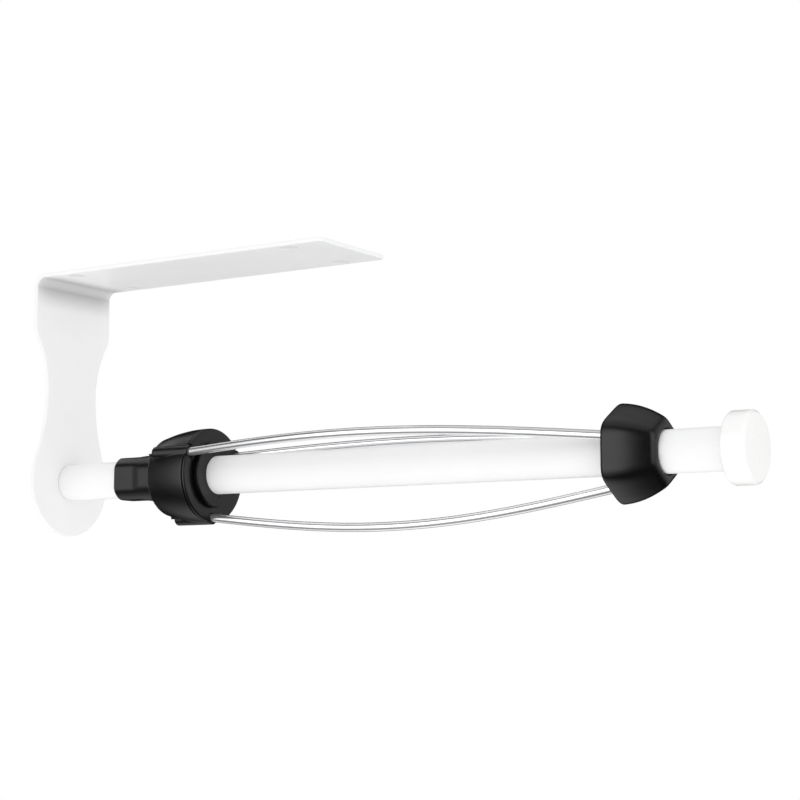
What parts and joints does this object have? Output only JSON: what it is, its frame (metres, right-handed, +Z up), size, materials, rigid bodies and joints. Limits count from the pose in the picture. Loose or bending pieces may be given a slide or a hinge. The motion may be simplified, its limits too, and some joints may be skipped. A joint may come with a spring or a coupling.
{
  "type": "under-cabinet paper towel holder",
  "caption": "White bent-sheet bracket with a cantilevered rod, a ratchet drum, bowed spring wires that grip the roll's core, a sliding cone and a round end knob.",
  "frame": {"origin": "centre of the four mounting holes, on the bracket's top face", "axes": "+Z up, out of the mounting face into the cabinet; +X along the rod, from the arm towards the knob; +Y across the plate"},
  "size_m": [0.3276, 0.047, 0.1155],
  "materials": {
    "paint_white": "smooth satin white powder coat",
    "knob_white": "smooth satin white",
    "black_plastic": "satin black moulded plastic",
    "spring_steel": "polished plated spring wire",
    "steel": "plain zinc-plated steel",
    "acetal": "natural acetal"
  },
  "bodies": {
    "holder": {"bracket": "paint_white", "rod": "paint_white", "rod_bush": "steel", "rod_screw": "steel", "lock_washer": "steel", "end_bush": "steel", "knob": "knob_white", "knob_stud": "steel", "fixed_collar": "black_plastic", "collar_pin": "steel", "ratchet_wheel": "acetal", "thrust_washer": "acetal", "retaining_clip": "black_plastic"},
    "drum": {"drum_shell": "black_plastic", "drum_cover": "black_plastic", "drum_bushing": "black_plastic", "pawl_pins": "steel", "pawl_spring_top": "steel", "pawl_spring_bottom": "steel", "wire_bottom": "spring_steel", "wire_back": "spring_steel", "wire_front": "spring_steel"},
    "slider": {"cone": "black_plastic", "cone_bushing": "acetal", "wire_retainer": "black_plastic"},
    "upper_pawl": {"pawl_top": "steel"},
    "lower_pawl": {"pawl_bottom": "steel"}
  },
  "joints": [
    {"name": "cage_spin", "type": "hinge", "parent": "holder", "child": "drum", "pos_m": [0, 0, -0.09], "axis": [1, 0, 0], "continuous": true},
    {"name": "cone_slide", "type": "slide", "parent": "drum", "child": "slider", "axis": [1, 0, 0], "range_m": [0, 0.001], "stiffness_N_per_m": 4000, "deforming": ["wire_bottom", "wire_back", "wire_front"]},
    {"name": "upper_pawl_lift", "type": "hinge", "parent": "drum", "child": "upper_pawl", "pos_m": [-0.0075, -0.00383, -0.07716], "axis": [-1, 0, 0], "range_deg": [0, 9], "stiffness_Nm_per_rad": 0.004, "deforming": ["pawl_spring_top"]},
    {"name": "lower_pawl_lift", "type": "hinge", "parent": "drum", "child": "lower_pawl", "pos_m": [-0.0075, 0.00383, -0.10284], "axis": [-1, 0, 0], "range_deg": [0, 9], "stiffness_Nm_per_rad": 0.004, "deforming": ["pawl_spring_bottom"]}
  ],
  "couplings": [
    {"joint": "lower_pawl_lift", "follows": "upper_pawl_lift", "ratio": 1}
  ]
}
